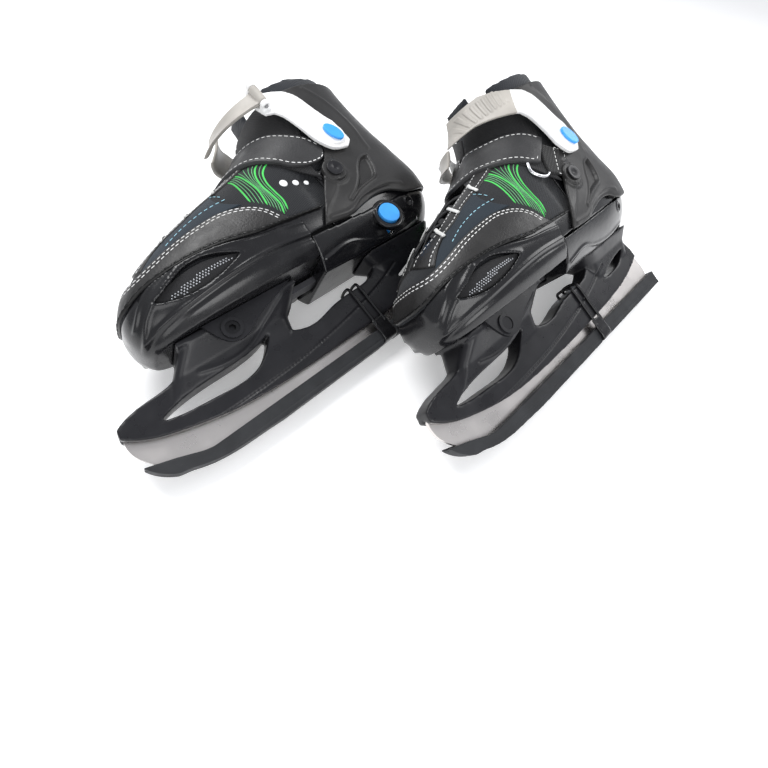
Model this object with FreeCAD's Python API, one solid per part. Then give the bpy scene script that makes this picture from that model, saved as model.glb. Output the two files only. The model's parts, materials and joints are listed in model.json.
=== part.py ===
import FreeCAD, Part
import os
from math import atan2, cos, degrees, exp, pi, radians, sin

# A pair of adjustable ice skates lying on their sides on a table, in millimetres.
# Each skate is modelled in its own frame: x to the toe with zero at the front holder bolt, y to the
# outer side of a left skate, z up from the underside of the blade guard.  The right skate is the
# mirror image.  Both are then laid down, blades towards +Y, with the pair's lowest point at z = 0.

V = FreeCAD.Vector
X_AXIS, Y_AXIS, Z_AXIS = V(1, 0, 0), V(0, 1, 0), V(0, 0, 1)

# ---------------------------------------------------------------- how the pair lies
LEFT_TILT = 22.5            # boot top raised from the table, degrees
RIGHT_TILT = 29.4
RIGHT_YAW = -1.5            # right skate against the left one, degrees
RIGHT_BACK = 125.0          # right skate set back along the left one's toe axis
RIGHT_ACROSS = 106.0        # and across, on the blade side

# ---------------------------------------------------------------- running gear
RAIL_HALF = 7.0             # half width of the holder along the blade
PYLON_HALF = 20.0           # half width at the top of both pylons
HOLDER_TOP = 69.5
BLADE_HALF = 1.5
SLOT_GAP = 0.1              # blade to holder, each side
GUARD_HALF = 6.0
GUARD_FLOOR = 3.8
GUARD_TOP = 12.6
BOLT_Z = 59.7
BOLT_R = 3.0
TIE_X = (-98.0, -86.0)
TIE_WALL = 1.2
TIE_PLAY = 0.2
TIE_TOP = 46.6              # just above the beam
GUARD_NOTCH = 1.6           # the tie passes under the guard in this notch
SCREWS_X = (-20.0, -150.0)  # blade screws

# ---------------------------------------------------------------- boot
# height, heel x, front x, half width, fullness of the ends, width kept at the waist
LEVELS = (
    (60.0, -186.0, 26.0, 27.0, 0.62, 0.86),
    (66.0, -192.0, 38.0, 34.0, 0.60, 0.86),
    (74.0, -198.0, 45.0, 39.5, 0.58, 0.87),
    (84.0, -201.5, 48.0, 44.5, 0.58, 0.88),
    (96.0, -203.0, 47.0, 47.0, 0.60, 0.88),
    (108.0, -203.5, 40.5, 46.0, 0.64, 0.90),
    (120.0, -203.5, 27.0, 43.5, 0.70, 0.94),
    (130.0, -203.0, 9.0, 42.5, 0.76, 0.96),
    (140.0, -202.0, -14.0, 41.5, 0.84, 0.98),
    (150.0, -200.5, -41.0, 40.5, 0.92, 1.0),
    (160.0, -199.0, -63.0, 39.5, 0.97, 1.0),
    (175.0, -197.0, -83.0, 38.5, 1.0, 1.0),
    (190.0, -196.0, -94.0, 38.0, 1.0, 1.0),
    (206.0, -196.5, -100.0, 38.0, 1.0, 1.0),
    (214.0, -197.0, -101.0, 38.0, 1.0, 1.0),
)
WAIST_AT, WAIST_WIDTH = 0.33, 0.25
OUTLINE_STEPS = 14          # points along each side of one level
BOOT_FAR = 260.0            # larger than the boot, for cutting

WALL = 3.2                  # hard shell walls
PLAY = 0.4                  # clearance between pieces that slide or touch
SPLIT_X = -72.0             # front edge of the heel shell
SKIRT_X = -96.0             # how far back the toe shell runs inside it
SOLE_TOP = 72.0
TOE_FLOOR = 69.9
SHELL_TOP = 101.0
HEEL_TOP = 97.0
RECESS_Z = 82.0             # above this the heel shell steps in under the cuff
RECESS = 3.0

# ---------------------------------------------------------------- cuff and buckle
ANKLE = (-119.0, 117.5)     # cuff rivets, x and z
BUCKLE = (-137.0, 143.0)    # arm and strap rivets
CUFF_BOTTOM = 84.0
CUFF_TOP = 198.0
CUFF_WALL = 2.8
CUFF_FRONT = ((-84.0, 83.0), (-100.0, 105.0), (-114.0, 122.0), (-125.0, 136.0), (-130.0, 163.0),
              (-128.0, 199.0))
COLLAR_BOTTOM = 128.0
COLLAR_TOP = 212.0
BUTTON = (-140.0, 73.0)     # size button, x and z
BUTTON_R = 8.5
BUTTON_FACE = 37.0
BUTTON_TRAVEL = 2.5
STEM_Z = 66.0
SPRING_R = 3.4
SPRING_WIRE = 0.5
LEVER_PIN = (-107.0, 46.6)  # x and y
LEVER_Z = (166.0, 188.0)
PIN_R = 1.5


def level(z):
    """Heel x, front x, half width, fullness and waist of the boot's skin at height z."""
    if z <= LEVELS[0][0]:
        return LEVELS[0][1:]
    for low, high in zip(LEVELS, LEVELS[1:]):
        if z <= high[0]:
            k = (z - low[0]) / (high[0] - low[0])
            return tuple(a + (b - a) * k for a, b in zip(low[1:], high[1:]))
    return LEVELS[-1][1:]


def half_width(x, z, inset=0.0):
    """Half width of the skin at one place."""
    back, front, half, full, waist = level(z)
    t = (x - back) / (front - back)
    t = min(max(t, 0.0), 1.0)
    rise = (4.0 * t * (1.0 - t)) ** (full / 2.0)
    narrow = 1.0 - (1.0 - waist) * exp(-((t - WAIST_AT) / WAIST_WIDTH) ** 2)
    return (half - inset) * rise * narrow


def outline(z, inset=0.0):
    """Closed wire round the boot at height z, pulled in by inset."""
    back, front, half, full, waist = level(z)
    back, front = back + inset, front - inset
    points = []
    for i in range(2 * OUTLINE_STEPS):
        angle = pi * i / OUTLINE_STEPS
        t = (1.0 - cos(angle)) / 2.0
        rise = abs(sin(angle)) ** full
        narrow = 1.0 - (1.0 - waist) * exp(-((t - WAIST_AT) / WAIST_WIDTH) ** 2)
        side = 1.0 if sin(angle) >= 0 else -1.0
        points.append(V(back + (front - back) * t, side * (half - inset) * rise * narrow, z))
    curve = Part.BSplineCurve()
    curve.interpolate(points, PeriodicFlag=True)
    return Part.Wire([curve.toShape()])


def skin(low, high, inset=0.0):
    """Solid of the boot between two heights."""
    heights = [low] + [l[0] for l in LEVELS if low + 2.0 < l[0] < high - 2.0] + [high]
    return Part.makeLoft([outline(z, inset) for z in heights], True, False)


def ring(low, high, outer, inner):
    """Wall between two insets, open above and below."""
    return skin(low, high, outer).cut(skin(low, high, inner))


def profile(points, y_low, y_high):
    """Side outline in x and z, pulled from y_low to y_high."""
    corners = [V(x, y_low, z) for x, z in points]
    return Part.Face(Part.makePolygon(corners + corners[:1])).extrude(V(0, y_high - y_low, 0))


def smooth_profile(runs, y_low, y_high):
    """As profile, but each run is a smooth curve through its points, joined end to end."""
    edges = []
    for i, run in enumerate(runs):
        points = [V(x, y_low, z) for x, z in run]
        if len(points) == 2:
            edges.append(Part.makeLine(*points))
        else:
            curve = Part.BSplineCurve()
            curve.interpolate(points)
            edges.append(curve.toShape())
        following = runs[(i + 1) % len(runs)][0]
        gap = V(following[0], y_low, following[1])
        if points[-1].distanceToPoint(gap) > 1e-6:
            edges.append(Part.makeLine(points[-1], gap))
    return Part.Face(Part.Wire(edges)).extrude(V(0, y_high - y_low, 0))


def block(x, y, z):
    """Box from three (low, high) pairs."""
    return Part.makeBox(x[1] - x[0], y[1] - y[0], z[1] - z[0], V(x[0], y[0], z[0]))


def pin_y(x, z, radius, y_low, y_high):
    return Part.makeCylinder(radius, y_high - y_low, V(x, y_low, z), Y_AXIS)


def ahead_of(x):
    return block((x, x + 2 * BOOT_FAR), (-BOOT_FAR, BOOT_FAR), (-BOOT_FAR, 2 * BOOT_FAR))


def behind(x):
    return block((x - 2 * BOOT_FAR, x), (-BOOT_FAR, BOOT_FAR), (-BOOT_FAR, 2 * BOOT_FAR))


def rounded_section(x_low, x_high, half, z, corner):
    """Rectangle with round corners at height z."""
    inner_x, inner_y = (x_low + corner, x_high - corner), half - corner
    diagonal = corner * cos(pi / 4.0)
    corners = ((inner_x[1], inner_y, 1, 1), (inner_x[0], inner_y, -1, 1),
               (inner_x[0], -inner_y, -1, -1), (inner_x[1], -inner_y, 1, -1))
    edges, ends = [], []
    for cx, cy, sx, sy in corners:
        first, last = V(cx + sx * corner, cy, z), V(cx, cy + sy * corner, z)
        if sx * sy < 0:
            first, last = last, first
        edges.append((first, V(cx + sx * diagonal, cy + sy * diagonal, z), last))
    for i, (first, middle, last) in enumerate(edges):
        ends.append(Part.Arc(first, middle, last).toShape())
        ends.append(Part.makeLine(last, edges[(i + 1) % 4][0]))
    return Part.Wire(ends)


# ---------------------------------------------------------------- holder, blade and guard

def blade_holder():
    rail = smooth_profile((
        ((76.5, 47.0), (68.0, 50.5), (54.0, 52.3), (42.0, 54.0), (33.0, 59.0), (29.0, 65.0)),
        ((-50.0, 65.0), (-42.0, 54.0), (-34.0, 46.0), (-44.0, 40.0), (-70.0, 42.5), (-96.0, 44.5),
         (-111.0, 47.0), (-119.0, 53.0), (-116.0, 60.0)),
        ((-176.0, 60.0), (-181.0, 47.0), (-184.0, 37.0)),
        ((-184.0, 31.0), (-160.0, 24.0), (-125.0, 19.5), (-70.0, 17.5), (-20.0, 17.5), (20.0, 20.5),
         (50.0, 27.5), (66.0, 33.5), (77.5, 41.5)),
    ), -RAIL_HALF, RAIL_HALF)
    front = Part.makeLoft([rounded_section(-37.0, 52.0, RAIL_HALF, 40.0, 5.0),
                           rounded_section(-40.0, 42.0, 11.0, 53.0, 8.0),
                           rounded_section(-53.0, 31.0, PYLON_HALF, HOLDER_TOP - 3.5, 10.0)], True, True)
    front_plate = block((-53.0, 31.0), (-PYLON_HALF, PYLON_HALF), (HOLDER_TOP - 3.5, HOLDER_TOP))
    rear = Part.makeLoft([rounded_section(-178.0, -122.0, RAIL_HALF, 38.0, 5.0),
                          rounded_section(-180.0, -119.0, 12.0, 50.0, 8.0),
                          rounded_section(-184.0, -112.0, PYLON_HALF, 59.6, 10.0)], True, True)
    holder = rail.fuse(front).fuse(front_plate).fuse(rear)
    teardrop = smooth_profile((
        ((57.0, 38.5), (43.0, 35.0), (28.0, 33.5), (8.0, 32.0), (-4.0, 34.5), (-14.0, 41.0), (-22.0, 50.0)),
        ((-22.0, 50.0), (-8.0, 45.5), (14.0, 44.0), (38.0, 43.0), (57.0, 38.5)),
    ), -PYLON_HALF, PYLON_HALF)
    slit = smooth_profile((
        ((-171.0, 44.0), (-158.0, 43.0), (-144.0, 39.5), (-128.0, 35.0)),
        ((-128.0, 35.0), (-146.0, 34.5), (-160.0, 37.0), (-171.0, 44.0)),
    ), -PYLON_HALF, PYLON_HALF)
    holder = holder.cut(teardrop).cut(slit)
    slot = BLADE_HALF + SLOT_GAP
    blade_room = smooth_profile((
        ((80.0, 46.4), (62.0, 33.3), (40.0, 27.9), (0.0, 24.9), (-60.0, 24.5), (-130.0, 26.0), (-190.0, 34.6)),
        ((-190.0, 0.0), (80.0, 0.0)),
    ), -slot, slot)
    holder = holder.cut(blade_room)
    holder = holder.cut(pin_y(0.0, BOLT_Z, BOLT_R, -PYLON_HALF, PYLON_HALF))
    rack_room = block((-60.0, 24.0), (-7.0, 7.0), (63.6, HOLDER_TOP))
    return holder.cut(rack_room).removeSplitter()


def lugs():
    """Three-cornered ears on both sides of the front pylon, with a raised rim round the bolt."""
    ears = []
    for side in (1.0, -1.0):
        near, far = side * (PYLON_HALF + 0.05), side * (PYLON_HALF + 2.2)
        ear = smooth_profile((
            ((14.0, 69.4), (10.0, 60.0), (4.0, 52.5), (-5.0, 51.5), (-16.0, 57.0), (-34.0, 64.0),
             (-49.0, 69.4)),
        ), min(near, far), max(near, far))
        rim_low, rim_high = sorted((near, side * (PYLON_HALF + 3.4)))
        rim = pin_y(0.0, BOLT_Z, 6.6, rim_low, rim_high)
        ears.append(ear.fuse(rim).cut(pin_y(0.0, BOLT_Z, 4.4, -40.0, 40.0)).removeSplitter())
    return Part.makeCompound(ears)


def holder_bolts():
    """Cross bolt with a hex socket head, its nut, and two screws up into the heel."""
    head_low, head_high = PYLON_HALF + 0.05, PYLON_HALF + 2.9
    bolt = pin_y(0.0, BOLT_Z, BOLT_R - 0.02, -PYLON_HALF, PYLON_HALF + 0.05)
    bolt = bolt.fuse(pin_y(0.0, BOLT_Z, 4.3, head_low, head_high))
    corners = [V(2.3 * cos(a), head_high - 1.8, BOLT_Z + 2.3 * sin(a))
               for a in (k * pi / 3.0 for k in range(6))]
    socket = Part.Face(Part.makePolygon(corners + corners[:1])).extrude(V(0, 3.0, 0))
    bolt = bolt.cut(socket)
    nut = pin_y(0.0, BOLT_Z, 4.3, -head_high, -PYLON_HALF)
    return Part.makeCompound([bolt.fuse(nut).removeSplitter()])


def blade():
    steel = smooth_profile((
        ((76.0, 42.0), (62.0, 32.6), (40.0, 27.1), (0.0, 24.2), (-60.0, 23.7), (-130.0, 25.2), (-187.0, 33.0)),
        ((-187.0, 33.0), (-189.6, 24.0), (-189.5, 15.0), (-186.0, 8.0), (-180.0, 4.6)),
        ((-180.0, 4.6), (-120.0, 4.3), (-40.0, 4.2), (10.0, 5.0), (44.0, 8.2), (62.0, 15.0), (73.0, 25.5)),
        ((73.0, 25.5), (76.5, 34.0), (76.0, 42.0)),
    ), -BLADE_HALF, BLADE_HALF)
    for x in SCREWS_X:
        steel = steel.cut(pin_y(x, 21.0, 1.6, -5.0, 5.0))
    return steel


def blade_screws():
    return Part.makeCompound([pin_y(x, 21.0, 1.55, -BLADE_HALF, BLADE_HALF) for x in SCREWS_X])


def blade_guard():
    body = smooth_profile((
        ((75.8, 24.6), (70.0, 22.6), (56.0, 17.5), (46.0, 13.6), (38.0, GUARD_TOP)),
        ((-192.4, 13.2), (-192.4, 0.0)),
        ((0.0, 0.0), (24.0, 1.2), (44.0, 3.6), (60.0, 9.4), (70.0, 16.4), (75.8, 24.6)),
    ), -GUARD_HALF, GUARD_HALF)
    groove = smooth_profile((
        ((-190.8, 40.0), (-190.8, GUARD_FLOOR - 0.3)),
        ((-40.0, GUARD_FLOOR - 0.3), (10.0, 3.9), (44.0, 6.6), (63.2, 13.0), (74.6, 23.2), (78.0, 40.0)),
    ), -BLADE_HALF - 0.15, BLADE_HALF + 0.15)
    notch = block((TIE_X[0] - 0.5, TIE_X[1] + 0.5), (-GUARD_HALF - 1.0, GUARD_HALF + 1.0), (-1.0, GUARD_NOTCH))
    return body.cut(groove).cut(notch)


def guard_tie():
    """Silicone band looped round the holder's beam and the guard."""
    low, high = TIE_X
    half, bottom, top = RAIL_HALF + TIE_PLAY, GUARD_NOTCH - TIE_PLAY, TIE_TOP
    outer = block((low, high), (-half - TIE_WALL, half + TIE_WALL), (bottom - TIE_WALL, top + TIE_WALL))
    inner = block((low, high), (-half, half), (bottom, top))
    return outer.cut(inner)


# ---------------------------------------------------------------- hard shells and size mechanism

def heel_shell():
    lower = skin(60.0, RECESS_Z).common(behind(SPLIT_X))
    upper = skin(RECESS_Z - 1.0, HEEL_TOP, RECESS).common(behind(SPLIT_X - 22.0))
    shell = lower.fuse(upper).cut(skin(SOLE_TOP, 110.0, WALL + RECESS))
    skirt_room = skin(TOE_FLOOR, RECESS_Z - 0.6, WALL)
    skirt_room = skirt_room.common(block((SKIRT_X - 2.0, 0.0), (-60.0, 60.0), (TOE_FLOOR - 1.0, 110.0)))
    shell = shell.cut(skirt_room)
    for side in (1.0, -1.0):
        across = sorted((side * 34.6, side * 37.8))
        ear = block((ANKLE[0] - 12.0, ANKLE[0] + 12.0), across, (90.0, ANKLE[1] + 9.0))
        shell = shell.fuse(ear).fuse(pin_y(ANKLE[0], ANKLE[1], 9.0, *sorted((side * 36.0, side * 38.4))))
    shell = shell.cut(pin_y(ANKLE[0], ANKLE[1], 3.0, -60.0, 60.0))
    shell = shell.cut(block((-178.0, SPLIT_X + 1.0), (-7.0, 7.0), (63.6, 68.6)))
    boss = pin_y(BUTTON[0], BUTTON[1], BUTTON_R + 2.2, 30.5, BUTTON_FACE - 1.6)
    shell = shell.fuse(boss)
    shell = shell.cut(pin_y(BUTTON[0], BUTTON[1], BUTTON_R + 0.3, BUTTON_FACE - 4.7 - BUTTON_TRAVEL, 60.0))
    shell = shell.cut(pin_y(BUTTON[0], STEM_Z, 4.4, 16.0, 40.0))
    return shell.cut(pin_y(BUTTON[0], STEM_Z, 2.4, 0.0, 40.0))


def toe_shell():
    outer = skin(TOE_FLOOR, SHELL_TOP).common(ahead_of(SPLIT_X + PLAY))
    skirt = skin(TOE_FLOOR, RECESS_Z - 1.0, WALL + PLAY)
    skirt = skirt.common(block((SKIRT_X, SPLIT_X + 2.0), (-60.0, 60.0), (TOE_FLOOR, RECESS_Z)))
    shell = outer.fuse(skirt).cut(skin(SOLE_TOP, SHELL_TOP, WALL + PLAY + 2.2))
    shell = shell.cut(block((SKIRT_X - 1.0, SPLIT_X), (-60.0, 60.0), (TOE_FLOOR - 1.0, SOLE_TOP + 0.3)))
    return shell.cut(vent_prism(0.0))


def vent_prism(shrink):
    """Eye-shaped vent through both sides of the toe shell."""
    mid_z, x_low, x_high = 91.5, -25.0 + shrink, 31.0 - shrink
    rise = 7.0 - shrink
    mid_x = (x_low + x_high) / 2.0
    return smooth_profile((
        ((x_low, mid_z), (mid_x - 8.0, mid_z + rise), (mid_x + 14.0, mid_z + rise * 0.7), (x_high, mid_z)),
        ((x_high, mid_z), (mid_x + 8.0, mid_z - rise), (mid_x - 14.0, mid_z - rise * 0.7), (x_low, mid_z)),
    ), -60.0, 60.0)


def toe_vent_mesh():
    wall = ring(80.0, SHELL_TOP, 1.4, 2.6)
    return wall.common(vent_prism(0.3)).common(ahead_of(-40.0))


def size_rack():
    bar = block((-168.0, -30.0), (-6.0, 6.0), (64.2, 68.2))
    for i in range(9):
        notch = -152.0 + 5.0 * i
        bar = bar.cut(block((notch, notch + 2.5), (3.0, 7.0), (64.0, 69.0)))
    return bar.fuse(block((-54.0, -30.0), (-6.0, 6.0), (68.2, TOE_FLOOR))).removeSplitter()


def size_button():
    disc = pin_y(BUTTON[0], BUTTON[1], BUTTON_R, BUTTON_FACE - 4.5, BUTTON_FACE)
    stem = pin_y(BUTTON[0], STEM_Z, 2.2, 9.6, BUTTON_FACE - 4.0)
    return disc.fuse(stem).removeSplitter()


def button_spring():
    """Wave spring round the button's stem: four rings joined on alternate sides."""
    low, high = 17.0, BUTTON_FACE - 5.2
    pitch = (high - low - 2.0 * SPRING_WIRE) / 3.0
    coils = [low + SPRING_WIRE + i * pitch for i in range(4)]
    spring = None
    for i, y in enumerate(coils):
        turn = Part.makeTorus(SPRING_R, SPRING_WIRE, V(BUTTON[0], y, STEM_Z), Y_AXIS)
        spring = turn if spring is None else spring.fuse(turn)
        if i < 3:
            x = BUTTON[0] + (SPRING_R if i % 2 else -SPRING_R)
            spring = spring.fuse(pin_y(x, STEM_Z, 0.8 * SPRING_WIRE, y, y + pitch))
    return spring


# ---------------------------------------------------------------- soft pieces, as plain solids

def toe_upper():
    low = SHELL_TOP + 0.3
    dome = skin(low, 152.0, 0.4).cut(skin(low, 152.0, 4.4))
    dome = dome.fuse(skin(low, 152.0, 0.4).common(skin(148.0, 152.0, 0.4)))
    dome = dome.common(ahead_of(SPLIT_X + 8.0))
    throat = block((SPLIT_X, 8.0), (-15.0, 15.0), (110.0, 200.0))
    under_strap = profile(((-80.0, 135.0), (40.0, 174.5), (40.0, 90.0), (-80.0, 90.0)), -60.0, 60.0)
    return dome.cut(throat).common(under_strap)


def boot_upper():
    wall = ring(SOLE_TOP + 0.3, COLLAR_BOTTOM - 6.0, WALL + PLAY + 4.4, 11.6)
    return wall.common(behind(SPLIT_X - 3.0))


def collar_padding():
    wall = ring(COLLAR_BOTTOM, COLLAR_TOP, 2.6, 8.5)
    return wall.common(block((-210.0, -118.0), (-60.0, 60.0), (COLLAR_BOTTOM, COLLAR_TOP)))


def tongue():
    return smooth_profile((
        ((4.0, 119.0), (-12.0, 128.0), (-40.0, 140.0), (-64.0, 151.0), (-87.0, 169.0), (-100.5, 188.0),
         (-105.0, 218.0)),
        ((-111.0, 218.0), (-107.0, 188.0), (-94.0, 166.0), (-70.0, 145.0), (-42.0, 133.0), (-14.0, 121.0),
         (0.0, 113.0)),
    ), -14.0, 14.0)


def footbed():
    return skin(SOLE_TOP + 0.4, SOLE_TOP + 3.6, 12.5)


def laces():
    """Crossing stretches of lace over the tongue."""
    pieces = []
    for x, z in ((-6.0, 131.5), (-20.0, 137.5), (-34.0, 143.5)):
        pieces.append(block((x - 3.0, x + 3.0), (-13.0, 13.0), (z, z + 2.0)))
    return Part.makeCompound(pieces)


def instep_strap():
    """Hook-and-loop strap from one ankle over the instep to the other."""
    band = ring(126.0, 186.0, -3.4, -0.6)
    slab = profile(((-36.0, 150.0), (-44.0, 166.0), (-84.0, 161.0), (-112.0, 142.0), (-112.0, 126.0)),
                   -60.0, 60.0)
    return band.common(slab)


def strap_ring():
    return Part.makeTorus(7.5, 1.3, V(-92.0, -49.0, 127.0), Y_AXIS)


def ring_anchor():
    low = -half_width(-97.0, 124.0) - 1.0
    return block((-104.0, -94.0), (low - 2.0, low), (112.0, 122.0))


# ---------------------------------------------------------------- cuff

def cuff():
    wall = ring(CUFF_BOTTOM, CUFF_TOP, -CUFF_WALL, 0.0)
    keep = profile(((-215.0, CUFF_BOTTOM - 1.0),) + CUFF_FRONT + ((-215.0, CUFF_TOP + 1.0),), -70.0, 70.0)
    shell = wall.common(keep)
    for side in (1.0, -1.0):
        shell = shell.fuse(pin_y(ANKLE[0], ANKLE[1], 9.0, *sorted((side * 41.3, side * 45.4))))
        shell = shell.fuse(pin_y(BUCKLE[0], BUCKLE[1], 6.5, *sorted((side * 41.0, side * 43.0))))
    for x, z, radius in ((BUCKLE[0], BUCKLE[1], 2.5), (ANKLE[0], ANKLE[1], 3.05)):
        for side in (1.0, -1.0):
            shell = shell.cut(pin_y(x, z, radius, *sorted((side * 20.0, side * 60.0))))
    return shell


def cuff_rivets():
    rivets = []
    for side in (1.0, -1.0):
        shaft = pin_y(ANKLE[0], ANKLE[1], 3.0, *sorted((side * 36.2, side * 46.0)))
        head = pin_y(ANKLE[0], ANKLE[1], 6.0, *sorted((side * 45.6, side * 47.2)))
        rivets.append(shaft.fuse(head).removeSplitter())
    return Part.makeCompound(rivets)


def strap_band(side):
    """Curved strap on one side of the cuff, from its rivet up and round towards the front."""
    band = ring(128.0, 200.0, -CUFF_WALL - 5.6, -CUFF_WALL - 2.6)
    along = profile(((-150.0, 136.0), (-144.0, 130.0), (-130.0, 130.0), (-120.0, 138.0), (-110.0, 160.0),
                     (-82.0, 170.0), (-60.0, 170.0), (-60.0, 190.0), (-100.0, 190.0), (-128.0, 176.0),
                     (-146.0, 154.0)), *sorted((side * 2.0, side * 70.0)))
    return band.common(along)


def buckle_arm():
    arm = strap_band(1.0).cut(block((-104.0, 0.0), (-70.0, 70.0), (100.0, 250.0)))
    for low in (LEVER_Z[0], LEVER_Z[1] - 4.0):
        barrel, hole = knuckle(low, low + 4.0, PIN_R)
        neck = block((LEVER_PIN[0] - 3.0, LEVER_PIN[0] + 3.0), (39.0, LEVER_PIN[1]), (low, low + 4.0))
        arm = arm.fuse(neck).fuse(barrel).cut(hole)
    return rivet_boss(arm, 1.0)


def ladder_strap():
    return rivet_boss(strap_band(-1.0), -1.0)


def rivet_boss(arm, side):
    arm = arm.fuse(pin_y(BUCKLE[0], BUCKLE[1], 9.5, *sorted((side * 43.3, side * 48.6))))
    return arm.cut(pin_y(BUCKLE[0], BUCKLE[1], 2.55, -70.0, 70.0)).removeSplitter()


def pivot_caps():
    """Oval rivets that hold the arm and the strap to the cuff."""
    caps = []
    for side in (1.0, -1.0):
        shaft = pin_y(BUCKLE[0], BUCKLE[1], 2.5, *sorted((side * 38.2, side * 49.2)))
        matrix = FreeCAD.Matrix()
        matrix.scale(V(5.0, 1.0, 8.5))
        oval = pin_y(0.0, 0.0, 1.0, *sorted((side * 48.9, side * 51.0))).transformGeometry(matrix)
        oval.rotate(V(0, 0, 0), Y_AXIS, -25.0)
        oval.translate(V(BUCKLE[0], 0, BUCKLE[1]))
        caps.append(shaft.fuse(oval).removeSplitter())
    return Part.makeCompound(caps)


# ---------------------------------------------------------------- buckle lever

def knuckle(z_low, z_high, hole):
    barrel = Part.makeCylinder(3.6, z_high - z_low, V(LEVER_PIN[0], LEVER_PIN[1], z_low))
    return barrel, Part.makeCylinder(hole, z_high - z_low + 2.0, V(LEVER_PIN[0], LEVER_PIN[1], z_low - 1.0))


def buckle_lever():
    low, high = LEVER_Z[0] + 4.3, LEVER_Z[1] - 4.3
    plate = ring(low, high, -CUFF_WALL - 11.2, -CUFF_WALL - 7.4)
    plate = plate.common(block((-107.0, 0.0), (4.0, 60.0), (low, high)))
    barrel, hole = knuckle(low, high, PIN_R + 0.05)
    return plate.fuse(barrel).cut(hole).removeSplitter()


def lever_pin():
    length = LEVER_Z[1] - LEVER_Z[0] + 1.0
    return Part.makeCylinder(PIN_R, length, V(LEVER_PIN[0], LEVER_PIN[1], LEVER_Z[0] - 0.5))


# ---------------------------------------------------------------- the pair

PIECES = {
    "blade_holder": blade_holder, "bolt_lugs": lugs, "holder_bolt": holder_bolts, "blade": blade,
    "blade_screws": blade_screws, "blade_guard": blade_guard, "guard_tie": guard_tie,
    "heel_shell": heel_shell, "toe_shell": toe_shell, "toe_vent_mesh": toe_vent_mesh,
    "size_rack": size_rack, "size_button": size_button, "button_spring": button_spring,
    "toe_upper": toe_upper, "boot_upper": boot_upper, "collar_padding": collar_padding,
    "tongue": tongue, "footbed": footbed, "laces": laces, "instep_strap": instep_strap,
    "strap_ring": strap_ring, "ring_anchor": ring_anchor, "cuff": cuff, "cuff_rivets": cuff_rivets,
    "buckle_arm": buckle_arm, "ladder_strap": ladder_strap, "pivot_caps": pivot_caps,
    "buckle_lever": buckle_lever, "lever_pin": lever_pin,
}

MIRROR = FreeCAD.Matrix()
MIRROR.scale(V(1, -1, 1))


def laid_down(tilt, yaw, origin):
    """Placement of a skate on its side: y up, z away from the blades, then tilted and turned."""
    turn = FreeCAD.Rotation(Z_AXIS, yaw).multiply(FreeCAD.Rotation(X_AXIS, 90.0 - tilt))
    return FreeCAD.Placement(V(*origin), turn)


def exact_bounds(shapes):
    box = FreeCAD.BoundBox()
    for shape in shapes:
        box.add(shape.optimalBoundingBox(True, False))
    return box


def main():
    left = {"left_" + name: make() for name, make in PIECES.items()}
    right = {}
    for name, make in PIECES.items():
        right["right_" + name] = make().mirror(V(0, 0, 0), Y_AXIS)
    left_place = laid_down(LEFT_TILT, 0.0, (0.0, 0.0, 0.0))
    right_place = laid_down(RIGHT_TILT, RIGHT_YAW, (-RIGHT_BACK, RIGHT_ACROSS, 0.0))
    placed = []
    for skate, place in ((left, left_place), (right, right_place)):
        for shape in skate.values():
            shape.Placement = place.multiply(shape.Placement)
        drop = V(0, 0, -exact_bounds(skate.values()).ZMin)
        for shape in skate.values():
            shape.translate(drop)
        placed.append(FreeCAD.Placement(place.Base + drop, place.Rotation))
    pair = {**left, **right}
    bounds = exact_bounds(pair.values())
    centre = V(-bounds.Center.x, -bounds.Center.y, 0)
    os.makedirs("parts", exist_ok=True)
    for name, shape in pair.items():
        shape.translate(centre)
        shape.exportStep("parts/" + name + ".step")
    for side, place in zip(("left", "right"), placed):
        spot = place.Base + centre
        matrix = place.Rotation.toMatrix()
        print(side, "origin", [round(v, 4) for v in spot], "matrix", [round(v, 8) for v in matrix.A])
    print("size", round(bounds.XLength, 2), round(bounds.YLength, 2), round(bounds.ZLength, 2))


main()
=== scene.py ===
import json
from math import pi, radians

import bpy
import numpy as np
from mathutils import Matrix, Vector


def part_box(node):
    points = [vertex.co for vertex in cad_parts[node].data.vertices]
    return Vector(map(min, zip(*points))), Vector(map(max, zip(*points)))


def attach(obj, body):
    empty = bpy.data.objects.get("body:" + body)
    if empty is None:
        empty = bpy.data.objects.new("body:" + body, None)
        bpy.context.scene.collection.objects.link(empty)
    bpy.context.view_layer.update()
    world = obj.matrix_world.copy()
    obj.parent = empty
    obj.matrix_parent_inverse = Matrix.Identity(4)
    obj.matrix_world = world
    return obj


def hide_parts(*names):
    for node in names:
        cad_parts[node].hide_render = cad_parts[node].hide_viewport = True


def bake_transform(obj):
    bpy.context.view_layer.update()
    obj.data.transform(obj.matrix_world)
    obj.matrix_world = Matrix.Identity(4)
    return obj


# A pair of adjustable ice skates lying on their sides.  Each skate is described in its own frame, in
# millimetres: x to the toe with zero at the front holder bolt, y to the outer side, z up from the
# underside of the blade guard.  place() turns that into the row frame.

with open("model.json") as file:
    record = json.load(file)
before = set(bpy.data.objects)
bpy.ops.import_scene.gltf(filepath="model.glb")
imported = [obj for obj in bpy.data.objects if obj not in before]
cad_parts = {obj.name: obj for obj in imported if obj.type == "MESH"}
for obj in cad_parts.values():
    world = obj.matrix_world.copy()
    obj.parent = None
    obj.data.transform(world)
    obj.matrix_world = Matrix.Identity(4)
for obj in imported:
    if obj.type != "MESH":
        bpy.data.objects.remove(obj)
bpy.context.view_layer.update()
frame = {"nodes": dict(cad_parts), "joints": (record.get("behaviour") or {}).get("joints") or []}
NODES = frame["nodes"]
JOINTS = {joint["name"]: joint for joint in frame["joints"]}

# ---------------------------------------------------------------- camera, lights, floor

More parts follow.
